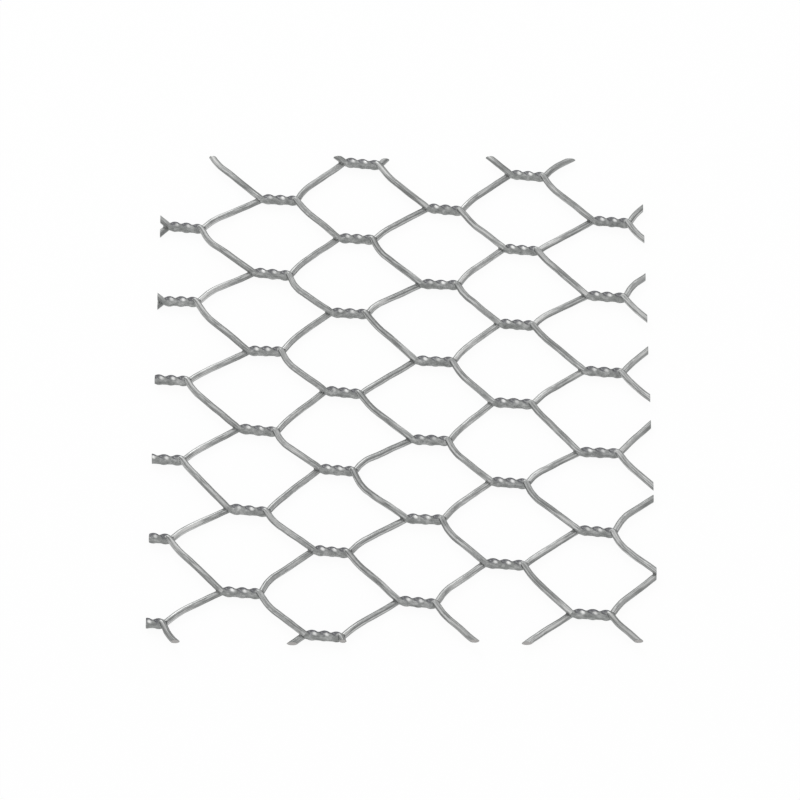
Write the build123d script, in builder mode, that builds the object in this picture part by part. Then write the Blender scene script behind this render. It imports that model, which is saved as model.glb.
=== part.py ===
from build123d import *
import os
from math import cos, radians, sin, tan

# Driving dimensions, in millimetres and degrees
wire_diameter = 0.8        # finished wire, with its zinc
mesh_width = 13.0          # across the netting, from one twist to the next one below it
weave_repeat = 23.4        # along the netting, from one twist to the next one beside it
column_stagger = 0.55      # by which every second column of twists sits high of the others
column_shift = 0.4         # by which every second column of twists sits left of its place
half_turn_length = 1.7     # along a twist, from one crossing of its two wires to the next
turns_per_twist = 2        # full turns, so that each wire leaves on the side it came from
wire_clearance = 0.02      # between the two wires of a twist
leaving_angle = 55.0       # at which a wire leaves the right end of a twist
leaving_length = 2.4       # of that steep run, up to the bend towards the next twist
bend_length = 1.2          # over which that bend is rounded
bend_height = 0.2          # of the bend, above or below the middle plane of the netting
mesh_rows = 6              # meshes along the trimmed piece, Y
mesh_columns = 3           # repeats of the weave across it, X
edge_length = 1.0          # beyond the last meshes, up to the back and front edges
side_trim = 1.1            # cut off the last repeats by each of the side edges
weave_skew = 4.5           # by which the weave runs clockwise of the trimmed edges
weave_lean = 1.1           # by which its columns lean from square, to the right at the front
cell_offset_x = 3.6        # from the middle of the piece to the middle of a cell
cell_offset_y = -1.1
wire_sides = 6             # of the polygon that stands for the round wire
steps_per_half_turn = 4    # straight runs that stand for half a turn of the helix

# Worked out from them
panel_width = mesh_columns * weave_repeat - 2 * side_trim
panel_length = mesh_rows * mesh_width + 2 * edge_length
wire_radius = wire_diameter / 2
crossings = 2 * turns_per_twist
column_pitch = weave_repeat / 2
row_pitch = mesh_width / 2
step_angle = 180 / steps_per_half_turn
twist_steps = (crossings - 1) * steps_per_half_turn
twist_length = (crossings - 1) * half_turn_length
twist_radius = (wire_radius + wire_clearance / 2) / cos(radians(step_angle / 2))
rest_height = twist_radius + wire_radius

# Columns and wires are counted from the cell at the offset, and go past every edge
columns_out = 2 * mesh_columns
wires_out = 2 * mesh_rows


def in_panel(x, y, z):
    """A point of the weave, turned and moved to its place in the trimmed piece."""
    turned = Vector(x, y, z + rest_height).rotate(Axis.Z, -weave_skew)
    return turned + Vector(cell_offset_x, cell_offset_y, 0)


def is_upper(wire, column):
    """Whether this wire is the upper one of the two in its twist of this column."""
    return (wire + column) % 2 == 0


def twist_middle(wire, column):
    row = wire + 1 if is_upper(wire, column) else wire
    side = 0.5 if column % 2 else -0.5
    x = column * column_pitch - side * column_shift + row * row_pitch * tan(radians(weave_lean))
    return x, side * column_stagger - row * row_pitch


def twist_run(wire, column):
    """The helix of one wire through a twist, from its first crossing to its last."""
    middle_x, middle_y = twist_middle(wire, column)
    first_angle = 90 if is_upper(wire, column) else 270
    points = []
    for step in range(twist_steps + 1):
        angle = radians(first_angle + step * step_angle)
        x = middle_x + (step / twist_steps - 0.5) * twist_length
        y = middle_y + twist_radius * cos(angle)
        points.append(in_panel(x, y, twist_radius * sin(angle)))
    return points


def diagonal_run(wire, column):
    """The two points that round the bend between this twist and the one in the next column."""
    start = twist_run(wire, column)[-1]
    end = twist_run(wire, column + 1)[0]
    turn = leaving_angle if is_upper(wire, column) else -leaving_angle
    corner = start + Vector(leaving_length, 0, 0).rotate(Axis.Z, turn - weave_skew)
    rise = bend_height if start.Z > rest_height else -bend_height
    corner = Vector(corner.X, corner.Y, rest_height + rise)
    back = (start - corner).normalized()
    onward = (end - corner).normalized()
    return [corner + back * bend_length / 2, corner + onward * bend_length / 2]


def outside(point):
    return abs(point.X) > panel_width / 2 or abs(point.Y) > panel_length / 2


def trimmed_start(points):
    """The run cut where its start meets the edge, or a wire radius past the last bend there."""
    while outside(points[1]):
        points = points[1:]
    first, second = points[0], points[1]
    share = 1.0
    for limit, near, far in (
        (panel_width / 2, abs(second.X), abs(first.X)),
        (panel_length / 2, abs(second.Y), abs(first.Y)),
    ):
        if far > limit:
            share = min(share, (limit - near) / (far - near))
    share = max(share, wire_radius / (first - second).length)
    return [second + (first - second) * share] + points[1:]


def in_rows(wire, column):
    """Whether a twist's middle, and so the crossings at its ends, lie between back and front."""
    return abs(in_panel(*twist_middle(wire, column), 0).Y) < panel_length / 2 - twist_radius


def in_sides(wire, column):
    """Whether a twist has at least one half turn between the side edges, so that it holds."""
    reach = (panel_width + half_turn_length) / 2
    return abs(in_panel(*twist_middle(wire, column), 0).X) < reach


def wire_runs(wire):
    """Each unbroken run of one wire that a twist holds, with its cut ends on the edges."""
    groups = []
    for column in range(-columns_out, columns_out):
        if in_rows(wire, column):
            if not in_rows(wire, column - 1) or not groups:
                groups.append([])
            groups[-1].append(column)
    runs = []
    for group in groups:
        if any(in_sides(wire, column) for column in group):
            before, after = group[0] - 1, group[-1] + 1
            run = twist_run(wire, before)[-1:] + diagonal_run(wire, before)
            for column in group:
                run += twist_run(wire, column) + diagonal_run(wire, column)
            run += twist_run(wire, after)[:1]
            runs.append(trimmed_start(trimmed_start(run)[::-1])[::-1])
    return runs


os.makedirs("parts", exist_ok=True)

# Each wire of the weave is a piece of its own, counted from the back edge to the front
number = 0
for wire in range(-wires_out, wires_out):
    runs = wire_runs(wire)
    if not runs:
        continue
    number += 1
    with BuildPart() as netting_wire:
        for run in runs:
            with BuildLine() as path:
                Polyline(*run)
            with BuildSketch(Plane(origin=path.line @ 0, z_dir=path.line % 0)):
                RegularPolygon(wire_radius, wire_sides)
            sweep(path=path.line, transition=Transition.RIGHT)
    netting_wire.part.label = f"wire_{number:02d}"
    export_step(netting_wire.part, f"parts/wire_{number:02d}.step")
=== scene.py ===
import bpy
import random
import numpy as np
from math import cos, pi, radians, sin, tan
from mathutils import Matrix, Vector, noise


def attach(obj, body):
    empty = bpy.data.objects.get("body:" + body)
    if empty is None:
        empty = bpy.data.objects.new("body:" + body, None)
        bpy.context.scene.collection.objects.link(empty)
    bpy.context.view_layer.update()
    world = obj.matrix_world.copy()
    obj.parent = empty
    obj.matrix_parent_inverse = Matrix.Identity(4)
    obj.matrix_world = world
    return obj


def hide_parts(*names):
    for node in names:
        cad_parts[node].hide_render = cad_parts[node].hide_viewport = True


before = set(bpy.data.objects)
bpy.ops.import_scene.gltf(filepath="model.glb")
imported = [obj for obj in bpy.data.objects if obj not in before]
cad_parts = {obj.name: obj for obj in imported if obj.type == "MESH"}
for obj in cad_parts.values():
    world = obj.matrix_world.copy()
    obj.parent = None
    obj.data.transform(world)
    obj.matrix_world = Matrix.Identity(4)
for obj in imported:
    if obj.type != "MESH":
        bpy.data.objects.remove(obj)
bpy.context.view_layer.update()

# The camera.
# The netting lies flat, and the camera looks down on it from the front through a long lens,
# so that the cells hardly narrow towards the back.
camera_lens = 207.0                              # millimetres
camera_sensor = 36.0                             # millimetres wide
camera_clip = (0.01, 10.0)
camera_distance = 0.6305
camera_elevation = radians(56.0)
camera_aim = Vector((-0.00028, -0.00132, 0.00087))

bpy.ops.object.select_all(action="DESELECT")
camera_back = Vector((0, -cos(camera_elevation), sin(camera_elevation)))
bpy.ops.object.camera_add(
    location=camera_aim + camera_back * camera_distance,
    rotation=(pi / 2 - camera_elevation, 0, 0),
)
camera = bpy.context.object
camera.name = "camera"
camera.data.lens = camera_lens
camera.data.sensor_width = camera_sensor
camera.data.clip_start, camera.data.clip_end = camera_clip
bpy.context.scene.camera = camera

# The weave of the netting.
# Soft steel wires run from left to right, and each is twisted in turn with the wire above it
# and the wire below it, three half turns at a time, by a row of turning pinions in the loom.
mesh_width = 0.013                               # from one twist to the next one below it
weave_repeat = 0.0234                            # from one twist to the next one beside it
column_stagger = 0.00055                         # between odd and even columns of twists
column_shift = 0.0004                            # sideways, between them
half_turns = 3
half_turn_length = 0.0017
leaving_angle = radians(55.0)                    # at the right end of a twist
leaving_length = 0.0024                          # from there to the middle of the bend
bend_length = 0.0012
bend_height = 0.0002                             # of the bend, off the middle plane
wire_radius = 0.000447                           # with the thick zinc between the twists
twist_share = 0.79                               # of that radius, in the twist, under its zinc
twist_radius = 0.000355                          # of the helix that each wire follows
rest_height = 0.000844                           # of the middle plane, above the floor
panel_width = 0.068
panel_length = 0.080
weave_skew = radians(4.5)                        # clockwise of the trimmed edges
weave_lean = radians(1.1)                        # of the columns from square, to the right in front
weave_centre = Vector((0.0036, -0.0011, rest_height))
columns_out = 6                                  # counted each way from the middle cell
rows_out = 12

# The loom and the rolling up left every twist a little off its place
wander_seed = 8238
place_wander = 0.0002
turn_wander = radians(2.5)
length_wander = 0.07                             # share of a twist's length
angle_wander = radians(8.0)                      # of the leaving angle
leaving_wander = 0.0005
column_drift = {                                 # of whole columns, sideways and up
    -3: (-0.00045, 0.00015), -2: (-0.00005, -0.00015), -1: (0.00005, 0.0),
    0: (0.00015, 0.0002), 1: (0.0, -0.0001), 2: (0.0, -0.0001),
}
rise_drift = {                                   # degrees, of the wires that leave a column upwards
    -3: -10.0, -2: 6.0, -1: -5.0, 0: 5.0, 1: -6.0, 2: 3.0,
}

uneven = random.Random(wander_seed)
noise.seed_set(wander_seed)                      # or noise vectors would start from the clock
column_pitch = weave_repeat / 2
row_pitch = mesh_width / 2
into_panel = Matrix.Translation(weave_centre) @ Matrix.Rotation(-weave_skew, 4, "Z")
twist_places = {}
for column in range(-columns_out, columns_out + 1):
    for row in range(-rows_out, rows_out + 1):
        if (column + row) % 2:
            side = 0.5 if column % 2 else -0.5
            drift = column_drift.get(column, (0.0, 0.0))
            x = column * column_pitch - side * column_shift + row * row_pitch * tan(weave_lean)
            y = side * column_stagger - row * row_pitch
            twist_places[column, row] = {
                "x": x + drift[0] + uneven.uniform(-1, 1) * place_wander,
                "y": y + drift[1] + uneven.uniform(-1, 1) * place_wander,
                "turn": uneven.uniform(-1, 1) * turn_wander,
                "stretch": 1 + uneven.uniform(-1, 1) * length_wander,
                # Of the lower wire of the twist, and of the upper one
                "angles": [leaving_angle + uneven.uniform(-1, 1) * angle_wander for _ in range(2)],
                "leaving": [leaving_length + uneven.uniform(-1, 1) * leaving_wander for _ in range(2)],
            }
            twist_places[column, row]["angles"][1] += radians(rise_drift.get(column, 0.0))


def is_upper(wire, column):
    """Whether this wire comes into its twist of this column from above."""
    return (wire + column) % 2 == 0


def twist_row(wire, column):
    """The row of the twist that this wire goes through in this column."""
    return wire + 1 if is_upper(wire, column) else wire


def twist_frame(column, row):
    """From a twist's own frame, with X along it, to its place in the panel."""
    place = twist_places[column, row]
    shift = Matrix.Translation((place["x"], place["y"], 0))
    return into_panel @ shift @ Matrix.Rotation(place["turn"], 4, "Z")


def twist_middle(column, row):
    """The middle of a twist, between its two wires."""
    return twist_frame(column, row).translation


def twist_length(column, row):
    """From the first crossing of a twist to its last one."""
    return half_turns * half_turn_length * twist_places[column, row]["stretch"]


helix_step = 30                                  # degrees between two points of the spline
helix_reach = twist_radius / cos(radians(helix_step / 2))      # the points lie outside the curve
helix_steps = half_turns * 180 // helix_step
over, under = 90, 270                            # degrees, where one wire crosses the other


def twist_points(wire, column):
    """The wire's helix through its twist of this column, from the first crossing to the last."""
    row = twist_row(wire, column)
    first = over if is_upper(wire, column) else under
    points = []
    for step in range(helix_steps + 1):
        angle = radians(first + step * helix_step)
        along = (step / helix_steps - 0.5) * twist_length(column, row)
        local = Vector((along, helix_reach * cos(angle), helix_reach * sin(angle)))
        points.append(twist_frame(column, row) @ local)
    return points


steep_parts = 4                                  # of the spline, from a twist to the bend
long_parts = 12                                  # and from the bend to the next twist


def diagonal_points(wire, column):
    """The wire between its twist of this column and its twist of the next one."""
    start = twist_points(wire, column)[-1]
    end = twist_points(wire, column + 1)[0]
    upper = is_upper(wire, column)
    place = twist_places[column, twist_row(wire, column)]
    turn = place["angles"][upper] if upper else -place["angles"][upper]
    leaving = Vector((place["leaving"][upper], 0, 0))
    corner = start + Matrix.Rotation(turn - weave_skew, 3, "Z") @ leaving
    corner.z = rest_height + (bend_height if start.z > rest_height else -bend_height)
    before = corner + (start - corner).normalized() * bend_length / 2
    after = corner + (end - corner).normalized() * bend_length / 2
    points = [start.lerp(before, part / steep_parts) for part in range(1, steep_parts + 1)]
    points += [after.lerp(end, part / long_parts) for part in range(long_parts)]
    return points


def in_rows(wire, column):
    """Whether the middle of a wire's twist lies between the back and front edges."""
    middle = twist_middle(column, twist_row(wire, column))
    return abs(middle.y) < panel_length / 2 - twist_radius


def in_sides(wire, column):
    """Whether a twist has at least half a turn between the side edges, so that it holds."""
    middle = twist_middle(column, twist_row(wire, column))
    return abs(middle.x) < (panel_width + half_turn_length) / 2


end_spare = 0.003                                # past the edge, cut off again by the shears


def wire_runs(wire):
    """Each unbroken run of a wire that a twist holds, past the edges at both of its ends."""
    groups = []
    for column in range(-columns_out + 1, columns_out - 1):
        if in_rows(wire, column):
            if not in_rows(wire, column - 1) or not groups:
                groups.append([])
            groups[-1].append(column)
    runs = []
    for group in groups:
        if any(in_sides(wire, column) for column in group):
            run = twist_points(wire, group[0] - 1)[-1:] + diagonal_points(wire, group[0] - 1)
            run.insert(0, run[0] + (run[0] - run[1]).normalized() * end_spare)
            twist_starts = {}
            for column in group:
                twist_starts[column] = len(run)
                run += twist_points(wire, column) + diagonal_points(wire, column)
            run += twist_points(wire, group[-1] + 1)[:1]
            run.append(run[-1] + (run[-1] - run[-2]).normalized() * end_spare)
            runs.append((run, twist_starts))
    return runs


# The finish of the zinc.
# Hot-dip zinc dries to a dull grey, streaked along the wire where it drained and clouded by its
# small crystals, with steel showing at the cut ends only. Painted highlights and painted glints
# lighten it, and painted shade darkens the grooves and backs of the twists.
node_step = 220                                  # from one node to the next in the editor


def put(tree, kind, inputs=None, **settings):
    """A new node, with its settings and with a value or another node's socket on each input."""
    made = tree.nodes.new(kind)
    made.location = (node_step * len(tree.nodes), 0)
    for name, value in settings.items():
        setattr(made, name, value)
    for name, value in (inputs or {}).items():
        if isinstance(value, bpy.types.NodeSocket):
            tree.links.new(value, made.inputs[name])
        else:
            made.inputs[name].default_value = value
    return made


def add_zinc_flow():
    """Streaks, clouds and crystals of zinc, from a place in metres and two scales."""
    group = bpy.data.node_groups.new("zinc_flow", "ShaderNodeTree")
    for name in ("Place", "Streaks", "Clouds"):
        group.interface.new_socket(name, in_out="INPUT", socket_type="NodeSocketVector")
    for name in ("Tone", "Dullness", "Height"):
        group.interface.new_socket(name, in_out="OUTPUT", socket_type="NodeSocketFloat")
    given = put(group, "NodeGroupInput").outputs
    streak_place = put(
        group, "ShaderNodeVectorMath", {0: given["Place"], 1: given["Streaks"]}, operation="MULTIPLY"
    )
    cloud_place = put(
        group, "ShaderNodeVectorMath", {0: given["Place"], 1: given["Clouds"]}, operation="MULTIPLY"
    )
    streaks = put(
        group, "ShaderNodeTexNoise",
        {"Vector": streak_place.outputs[0], "Scale": 1.0, "Detail": 3.0, "Roughness": 0.6},
    ).outputs[0]
    clouds = put(
        group, "ShaderNodeTexNoise",
        {"Vector": cloud_place.outputs[0], "Scale": 1.0, "Detail": 4.0, "Roughness": 0.65},
    ).outputs[0]
    crystals = put(
        group, "ShaderNodeTexVoronoi", {"Vector": cloud_place.outputs[0], "Scale": 3.0},
    ).outputs["Color"]
    crystal_tone = put(group, "ShaderNodeSeparateColor", {0: crystals}).outputs[0]
    uneven_tone = put(group, "ShaderNodeMix", {0: 0.22, 2: streaks, 3: clouds}).outputs[0]
    tone = put(group, "ShaderNodeMix", {0: 0.06, 2: uneven_tone, 3: crystal_tone}).outputs[0]
    height = put(group, "ShaderNodeMix", {0: 0.6, 2: streaks, 3: clouds}).outputs[0]
    put(group, "NodeGroupOutput", {"Tone": tone, "Dullness": clouds, "Height": height})
    return group


zinc_flow = add_zinc_flow()


def add_zinc(name):
    """A zinc material with its tree, its shader and the zinc flow node, to build on."""
    material = bpy.data.materials.new(name)
    material.use_nodes = True
    tree = material.node_tree
    shader = tree.nodes["Principled BSDF"]
    shader.inputs["Metallic"].default_value = 0.85
    shader.inputs["Specular Tint"].default_value = (0.75, 0.76, 0.75, 1)
    flow = put(tree, "ShaderNodeGroup", node_tree=zinc_flow)
    height, dullness = flow.outputs["Height"], flow.outputs["Dullness"]
    bump = put(tree, "ShaderNodeBump", {"Strength": 0.6, "Distance": 0.00002, "Height": height})
    rough = put(
        tree, "ShaderNodeMapRange",
        {"Value": dullness, "From Min": 0.3, "From Max": 0.7, "To Min": 0.26, "To Max": 0.46},
    )
    tree.links.new(bump.outputs["Normal"], shader.inputs["Normal"])
    tree.links.new(rough.outputs[0], shader.inputs["Roughness"])
    return material, tree, shader, flow


def add_tones(tree, value, tones):
    """The colour from a ramp with these (position, colour) stops."""
    tone_ramp = put(tree, "ShaderNodeValToRGB", {0: value})
    stops = tone_ramp.color_ramp.elements
    stops[0].position, stops[0].color = tones[0][0], (*tones[0][1], 1)
    stops[1].position, stops[1].color = tones[-1][0], (*tones[-1][1], 1)
    for position, colour in tones[1:-1]:
        stops.new(position).color = (*colour, 1)
    return tone_ramp.outputs[0]


cut_steel = bpy.data.materials.new("cut_steel")
cut_steel.use_nodes = True
tree = cut_steel.node_tree
shader = tree.nodes["Principled BSDF"]
shader.inputs["Metallic"].default_value = 1.0
shader.inputs["Roughness"].default_value = 0.38
place = put(tree, "ShaderNodeTexCoord").outputs["Object"]
tears = put(tree, "ShaderNodeTexNoise", {"Vector": place, "Scale": 9000.0, "Detail": 2.0}).outputs[0]
bump = put(tree, "ShaderNodeBump", {"Strength": 0.4, "Distance": 0.00001, "Height": tears})
tree.links.new(bump.outputs["Normal"], shader.inputs["Normal"])
tree.links.new(
    add_tones(tree, tears, ((0.35, (0.30, 0.29, 0.28)), (0.65, (0.52, 0.51, 0.50)))),
    shader.inputs["Base Color"],
)

drawn_zinc, tree, shader, flow = add_zinc("drawn_zinc")
along = put(tree, "ShaderNodeAttribute", attribute_name="wire_place").outputs["Vector"]
tree.links.new(along, flow.inputs["Place"])
flow.inputs["Streaks"].default_value = (130, 5200, 5200)
flow.inputs["Clouds"].default_value = (500, 1800, 1800)
tones = add_tones(tree, flow.outputs["Tone"], (
    (0.40, (0.18, 0.185, 0.182)),
    (0.47, (0.28, 0.286, 0.283)),
    (0.54, (0.375, 0.382, 0.378)),
    (0.60, (0.58, 0.585, 0.58)),
))
# Painted highlight: lighter colour in broken streaks along the side of each wire that faces up and to
# the front
rubbed = put(tree, "ShaderNodeAttribute", attribute_name="rubbed").outputs["Fac"]
colour = put(tree, "ShaderNodeMix", {0: rubbed, 6: tones, 7: (0.62, 0.62, 0.61, 1)}, data_type="RGBA")
tree.links.new(colour.outputs[2], shader.inputs["Base Color"])

pooled_zinc, tree, shader, flow = add_zinc("pooled_zinc")
place = put(tree, "ShaderNodeTexCoord").outputs["Object"]
tree.links.new(place, flow.inputs["Place"])
flow.inputs["Streaks"].default_value = (1100, 1900, 1900)
flow.inputs["Clouds"].default_value = (2000, 2000, 2000)
tones = add_tones(tree, flow.outputs["Tone"], (
    (0.32, (0.17, 0.176, 0.172)),
    (0.50, (0.272, 0.28, 0.275)),
    (0.68, (0.46, 0.466, 0.46)),
))
# Painted shade: near-black in the grooves between the turns and up the back slope of each twist, not low
# on its front
dull = put(tree, "ShaderNodeAttribute", attribute_name="dull").outputs["Fac"]
rubbed = put(tree, "ShaderNodeAttribute", attribute_name="rubbed").outputs["Fac"]
colour = put(tree, "ShaderNodeMix", {0: dull, 6: tones, 7: (0.11, 0.11, 0.12, 1)}, data_type="RGBA")
# Painted glint: a light spot on each turn of the twist, where a lamp's glint would fall
colour = put(
    tree, "ShaderNodeMix", {0: rubbed, 6: colour.outputs[2], 7: (0.85, 0.85, 0.84, 1)}, data_type="RGBA"
)
tree.links.new(colour.outputs[2], shader.inputs["Base Color"])

# The wires.
# Each is drawn mild steel of the 0.8 mm size, with the zinc of the bath that the woven netting
# went through. The zinc ran along it as it drained, so it is thicker and thinner by turns.
kink = 0.00008                                   # of a wire off its line
kink_pitch = 0.0022
kink_flat = 0.3                                  # of it up and down, as the netting was rolled flat
swell = 0.05                                     # share of the radius
swell_pitch = 0.0011
highlight_side = Vector((0, -0.50, 0.87))             # the side of the wire that gets the painted highlight streaks, up and to the front
highlight_width = (0.86, 0.94)                        # cosines to that side, from none to full
highlight_pitch = 0.0035
highlight_share = (0.12, 0.55)                        # of the noise along the wire, from none to full
noise_rows = {                                   # the step from wire to wire, and the plane
    "kink": (7.3, 0.5), "swell": (3.7, 4.1), "highlight_streaks": (5.9, 8.7),
}
zinc_thickness = 0.00005                         # of the ring round the bare steel
edge_nearness = 0.000001
square_on = 0.99                                 # cosine that a cut face's normal has to pass
rim_merge = 0.00002                              # of the short steps that the shears leave in a rim
cut_step = 0.00001                               # by which every second wire is cut shorter
spline_order = 3
spline_steps = 3                                 # rings from one point to the next
bevel_steps = 6
ring_sides = 2 * bevel_steps + 4                 # points in a ring round the wire
fork_points = 3                                  # of each wire past a twist, that its zinc runs over


def add_strands(name, strands, scale=1.0, capped=False):
    """A mesh with one round strand for each list of points and shares of the wire's radius."""
    bpy.ops.object.select_all(action="DESELECT")
    bpy.ops.curve.primitive_nurbs_path_add()
    path = bpy.context.object
    path.name = name
    path.data.splines.clear()
    for points, thicknesses in strands:
        spline = path.data.splines.new("NURBS")
        spline.points.add(len(points) - 1)
        for knot, point, thickness in zip(spline.points, points, thicknesses):
            knot.co = (*(point * scale), 1)
            knot.radius = thickness
        spline.order_u = spline_order
        spline.use_endpoint_u = True
        spline.resolution_u = spline_steps
    path.data.twist_mode = "Z_UP"
    path.data.bevel_depth = wire_radius * scale
    path.data.bevel_resolution = bevel_steps
    path.data.use_fill_caps = capped
    bpy.ops.object.convert(target="MESH")
    return bpy.context.object


def alone(piece):
    """Leaves only this piece selected, for the operators that follow."""
    bpy.ops.object.select_all(action="DESELECT")
    piece.select_set(True)
    bpy.context.view_layer.objects.active = piece


def joined(pieces):
    """The pieces as one, under the name of the first."""
    alone(pieces[0])
    for piece in pieces[1:]:
        piece.select_set(True)
    if len(pieces) > 1:
        bpy.ops.object.join()
    return bpy.context.object


def cut_faces(piece, inside):
    """The faces that the shears left, this far inside the edges of the panel."""
    edges = ((0, panel_width / 2 - inside), (1, panel_length / 2 - inside))
    return [
        face for face in piece.data.polygons
        if any(
            abs(abs(face.center[axis]) - edge) < edge_nearness and abs(face.normal[axis]) > square_on
            for axis, edge in edges
        )
    ]


def shear(piece, inside):
    """Cuts the piece off square, this far inside the four edges of the panel."""
    alone(piece)
    bpy.ops.object.mode_set(mode="EDIT")
    for side in (-1, 1):
        for edge in ((panel_width / 2 - inside, 0, 0), (0, panel_length / 2 - inside, 0)):
            bpy.ops.mesh.select_all(action="SELECT")
            bpy.ops.mesh.bisect(
                plane_co=Vector(edge) * side,
                plane_no=Vector(edge).normalized() * side,
                use_fill=True,
                clear_outer=True,
                threshold=edge_nearness,
            )
    bpy.ops.object.mode_set(mode="OBJECT")
    for face in cut_faces(piece, inside):
        face.use_smooth = False


def show_steel(piece, inside):
    """Bares the steel in the cut ends, inside a thin ring of zinc."""
    bpy.context.tool_settings.mesh_select_mode = (False, False, True)
    bpy.ops.object.mode_set(mode="EDIT")
    bpy.ops.mesh.select_all(action="DESELECT")
    bpy.ops.object.mode_set(mode="OBJECT")
    for face in cut_faces(piece, inside):
        face.select = True
    bpy.ops.object.mode_set(mode="EDIT")
    bpy.ops.mesh.remove_doubles(threshold=rim_merge)
    bpy.ops.mesh.inset(thickness=zinc_thickness)
    bpy.ops.object.mode_set(mode="OBJECT")
    steel_slot = piece.data.materials.find(cut_steel.name)
    for face in piece.data.polygons:
        if face.select:
            face.material_index = steel_slot


def noise_place(use, distance, pitch, number):
    """Where a wire reads the noise: a row of its own for each wire and each use."""
    step, plane = noise_rows[use]
    return distance / pitch, number * step, plane


def handled(points, twist_starts, number):
    """The same points with the small kinks that handling put in, and shares of the radius."""
    travelled = 0.0
    bent, shares = [], []
    for index, point in enumerate(points):
        travelled += (point - points[index - 1]).length if index else 0.0
        off = noise.noise_vector(noise_place("kink", travelled, kink_pitch, number)) * kink
        off.z *= kink_flat
        squeezed = any(0 < index - start < helix_steps for start in twist_starts.values())
        lump = 1 + swell * noise.noise(noise_place("swell", travelled, swell_pitch, number))
        bent.append(point + off * (twist_share if squeezed else 1))
        shares.append(lump * (twist_share if squeezed else 1))
    return bent, shares


def ramp(values, limits):
    """From 0 below the two limits to 1 above them."""
    return np.clip((values - limits[0]) / (limits[1] - limits[0]), 0, 1)


def keep_values(piece, name, values):
    """Keeps one number for each point, for the finish to read by this name."""
    attribute = piece.data.attributes.new(name, "FLOAT", "POINT")
    attribute.data.foreach_set("value", values)


def mark_along(piece, number):
    """Keeps, for the finish, each point's place along and around the wire, and a painted highlight in
    broken streaks along its upper front side.
    """
    corners = np.empty(len(piece.data.vertices) * 3)
    piece.data.vertices.foreach_get("co", corners)
    rings = corners.reshape(-1, ring_sides, 3)
    steps = np.linalg.norm(np.diff(rings.mean(axis=1), axis=0), axis=1)
    around = np.arange(ring_sides) * 2 * pi / ring_sides
    place = np.empty(rings.shape)
    place[:, :, 0] = np.concatenate([[0.0], np.cumsum(steps)])[:, None]
    place[:, :, 1] = wire_radius * np.cos(around)
    place[:, :, 2] = wire_radius * np.sin(around)
    attribute = piece.data.attributes.new("wire_place", "FLOAT_VECTOR", "POINT")
    attribute.data.foreach_set("vector", place.ravel())
    out = rings - rings.mean(axis=1, keepdims=True)
    facing = (out / np.linalg.norm(out, axis=2, keepdims=True)) @ np.array(highlight_side)
    highlight_streaks = [noise.noise(noise_place("highlight_streaks", x, highlight_pitch, number)) for x in place[:, 0, 0]]
    # painted highlight on the upper front side, broken into streaks by noise along the wire
    painted_streaks = ramp(facing, highlight_width) * ramp(np.array(highlight_streaks), highlight_share)[:, None]
    keep_values(piece, "rubbed", painted_streaks.ravel())


wires = {}
laid = {}                                        # the points of each wire through each twist
number = 0
for wire in range(-rows_out, rows_out):
    parts = []
    for run, twist_starts in wire_runs(wire):
        if not parts:
            number += 1
        points, shares = handled(run, twist_starts, number)
        for column, start in twist_starts.items():
            end = start + helix_steps + 1
            laid[wire, column] = points[start - fork_points:end + fork_points]
        part = add_strands(f"wire_{number:02d}_galvanised", [(points, shares)])
        mark_along(part, number)
        part.data.materials.append(drawn_zinc)
        part.data.materials.append(cut_steel)
        shear(part, cut_step * (number % 2))
        show_steel(part, cut_step * (number % 2))
        parts.append(part)
    if parts:
        wires[wire] = joined(parts)

# The zinc in the twists.
# The molten zinc stayed in the grooves of each twist and hung along its front side as it set,
# so that it solders the two wires together and rounds off the steps between them.
zinc_voxel = 0.00008
zinc_scale = 1000.0                              # the remesh takes no voxel under 0.1 mm
zinc_ends = (0.80, 0.90, 0.94)                   # of the wire's radius, at the points of a fork
zinc_over = 0.86                                 # and over the wires through the twist
zinc_inside = 0.00002                            # of the panel's edges, where it is cut
front_bead_radius = 0.00048
front_bead_place = Vector((0, -0.00023, 0.00003))
core_radius = 0.00042
core_place = Vector((0, 0.00011, 0.00001))
core_spare = 0.0006                              # past the last crossings, in the forks
zinc_limit = panel_width / 2 + half_turns * half_turn_length / 2 + core_spare
bead_points = 9
bead_swell = 0.12
bead_taper = 0.35                                # of its radius, lost at each end
bead_blunt = 6                                   # the power that keeps the loss to the ends
bead_noise = (3.1, 5.7, 3.3)                     # steps along a bead, by columns and by rows
smooth_rounds = 4
back_up = Vector((0, 0.829, 0.559))              # up the slope of the twist's back
front_up = Vector((0, -0.559, 0.829))            # and up the slope of its front
groove_shade = (0.84, 1.0)                        # of the way from a wire's crown to the groove
groove_over = (-0.00010, 0.00020)                # and height up the back, from none to full
back_shade = (0.00036, 0.00050)                   # height up the back, where the crowns get the painted shade too
front_shade = (-0.00012, 0.00008)                 # height up the front, from none to full
glint_angle = radians(72)                          # round the twist, where each turn gets its painted glint
glint_side = Vector((0, -0.60, 0.80))
glint_size = (0.00026, 0.00008)                    # across the wire, from its rim to full brightness
glint_stretch = 1.7                                # of it along the wire
glint_wander = 0.00012
glint_share = (0.85, 0.80)                         # usual strength, and how much it varies
glint_least = 0.1
glint_noise = (5.3, 3.9, 2.7)                      # steps by columns, rows and turns


def bead(column, row, place, radius, spare):
    """A run of zinc along a twist, as points and shares of the wire's radius."""
    half = twist_length(column, row) / 2 + spare
    along, aside, down = bead_noise
    points, thicknesses = [], []
    for index in range(bead_points):
        share = 2 * index / (bead_points - 1) - 1
        noise_spot = share * along, column * aside, row * down + place.y * zinc_scale
        lump = 1 + bead_swell * noise.noise(noise_spot)
        points.append(twist_frame(column, row) @ (place + Vector((share * half, 0, 0))))
        thicknesses.append(radius / wire_radius * lump * (1 - bead_taper * share ** bead_blunt))
    return points, thicknesses


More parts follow.
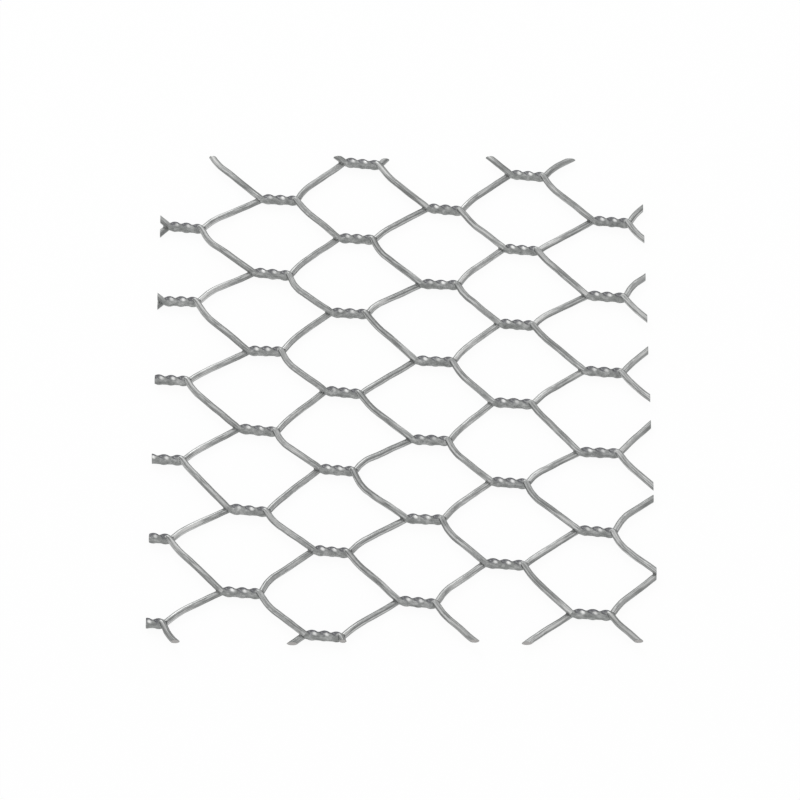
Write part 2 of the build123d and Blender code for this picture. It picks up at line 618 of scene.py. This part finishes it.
def mark_painted_light(skin, column, row):
    """Keeps, for the finish, a painted shade in the grooves and up the back of the twist, and a painted
    glint on each turn.
    """
    corners = np.empty(len(skin.data.vertices) * 3)
    skin.data.vertices.foreach_get("co", corners)
    into_twist = np.array(twist_frame(column, row).inverted())
    local = corners.reshape(-1, 3) @ into_twist[:3, :3].T + into_twist[:3, 3]
    length = twist_length(column, row)
    turned = (local[:, 0] / length + 0.5) * half_turns * pi + pi / 2
    grooved = np.abs(np.sin(np.arctan2(local[:, 2], local[:, 1]) - turned))
    up_back = local @ np.array(back_up)
    # painted shade in the grooves, and up the back slope of the twist
    dull = ramp(grooved, groove_shade) * ramp(up_back, groove_over)
    dull = np.maximum(dull, ramp(up_back, back_shade)) * ramp(local @ np.array(front_up), front_shade)
    by_column, by_row, by_turn = glint_noise
    round_way = twist_radius * Vector((-sin(glint_angle), cos(glint_angle)))
    wire_way = Vector((length / half_turns / pi, *round_way))
    rubbed = np.zeros(len(local))
    # a painted glint on each turn, stretched along the wire
    for turn in range(1, half_turns + 1):
        share = (glint_angle + turn * pi - pi / 2) / (half_turns * pi) - 0.5
        spot = twist_radius * np.array((0, cos(glint_angle), sin(glint_angle)))
        spot = spot + zinc_over * wire_radius * np.array(glint_side) + (share * length, 0, 0)
        chance = noise.noise_vector((column * by_column, row * by_row, turn * by_turn))
        away = local - spot - (chance.x * glint_wander, 0, chance.y * glint_wander / 2)
        along = away @ np.array(wire_way.normalized())
        across = np.sqrt(np.maximum(np.sum(away ** 2, axis=1) - along ** 2, 0))
        strength = min(max(glint_share[0] + glint_share[1] * chance.z, glint_least), 1.0)
        rubbed = np.maximum(rubbed, strength * ramp(np.hypot(along / glint_stretch, across), glint_size))
    keep_values(skin, "dull", dull)
    keep_values(skin, "rubbed", rubbed)


def apply_modifier(piece, kind, **settings):
    """Shapes the piece, which is the active one, by a modifier with these settings."""
    bpy.ops.object.modifier_add(type=kind)
    made = piece.modifiers[-1]
    for name, value in settings.items():
        setattr(made, name, value)
    bpy.ops.object.modifier_apply(modifier=made.name)


for column, row in twist_places:
    if (row - 1, column) not in laid or (row, column) not in laid:
        continue
    if abs(twist_middle(column, row).x) > zinc_limit:
        continue
    strands = [
        bead(column, row, front_bead_place, front_bead_radius, 0.0),
        bead(column, row, core_place, core_radius, core_spare),
    ]
    for wire in (row - 1, row):
        points = laid[wire, column]
        middle = [zinc_over] * (len(points) - 2 * len(zinc_ends))
        strands.append((points, [*zinc_ends, *middle, *reversed(zinc_ends)]))
    skin = add_strands("zinc", strands, scale=zinc_scale, capped=True)
    apply_modifier(skin, "REMESH", mode="VOXEL", voxel_size=zinc_voxel * zinc_scale)
    apply_modifier(skin, "SMOOTH", iterations=smooth_rounds)
    skin.scale = (1 / zinc_scale,) * 3
    bpy.ops.object.transform_apply(location=False, rotation=False, scale=True)
    shear(skin, zinc_inside)
    if not skin.data.vertices:
        bpy.data.objects.remove(skin)
        continue
    mark_painted_light(skin, column, row)
    skin.data.materials.append(pooled_zinc)
    wires[row - 1] = joined([wires[row - 1], skin])

# The floor and the light.
# A plain white floor under a soft white sky, with a wide lamp behind and to the left, and a
# small one high up at the back that adds a little real sparkle to the painted glints on the twists.
floor_size = 4.0
floor_glow = 0.93                                # share of its white that takes no shadow
sky_strength = 0.87
lamps = {                                        # metres and watts
    "wide_lamp": {"place": Vector((-0.30, 0.60, 0.52)), "size": 0.40, "power": 1.3},
    "glint_lamp": {"place": Vector((0.12, 0.30, 0.77)), "size": 0.05, "power": 0.1},
}


def add_seen(tree):
    """1 where the camera, a reflection or a view through glass meets this, and 0 for light."""
    path = put(tree, "ShaderNodeLightPath").outputs
    seen = put(
        tree, "ShaderNodeMath", {0: path["Is Camera Ray"], 1: path["Is Glossy Ray"]}, operation="MAXIMUM"
    )
    return put(
        tree, "ShaderNodeMath", {0: seen.outputs[0], 1: path["Is Transmission Ray"]}, operation="MAXIMUM"
    ).outputs[0]


bpy.ops.object.select_all(action="DESELECT")
bpy.ops.mesh.primitive_plane_add(size=floor_size, location=(0, 0, 0))
floor = bpy.context.object
floor.name = "floor"
floor_white = bpy.data.materials.new("floor_white")
floor_white.use_nodes = True
tree = floor_white.node_tree
tree.nodes.remove(tree.nodes["Principled BSDF"])
glow_share = put(tree, "ShaderNodeMath", {0: add_seen(tree), 1: floor_glow}, operation="MULTIPLY")
matt = put(tree, "ShaderNodeBsdfDiffuse", {"Color": (0.94, 0.94, 0.94, 1)})
glow = put(tree, "ShaderNodeEmission", {"Color": (1, 1, 1, 1), "Strength": 1.0})
mixed = put(
    tree, "ShaderNodeMixShader", {0: glow_share.outputs[0], 1: matt.outputs[0], 2: glow.outputs[0]}
)
tree.links.new(mixed.outputs[0], tree.nodes["Material Output"].inputs["Surface"])
floor.data.materials.append(floor_white)

for name, made in lamps.items():
    bpy.ops.object.light_add(type="AREA", location=made["place"])
    lamp = bpy.context.object
    lamp.name = name
    lamp.data.energy = made["power"]
    lamp.data.size = made["size"]
    lamp.rotation_euler = (-made["place"]).to_track_quat("-Z", "Y").to_euler()

sky = bpy.data.worlds.new("sky")
bpy.context.scene.world = sky
sky.use_nodes = True
tree = sky.node_tree
strength = put(
    tree, "ShaderNodeMapRange", {"Value": add_seen(tree), "To Min": sky_strength, "To Max": 1.0}
)
background = tree.nodes["Background"]
background.inputs["Color"].default_value = (1, 1, 1, 1)
tree.links.new(strength.outputs[0], background.inputs["Strength"])
bpy.context.scene.view_settings.view_transform = "Standard"

for piece in wires.values():
    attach(piece, "root")
    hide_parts(piece.name[:7])
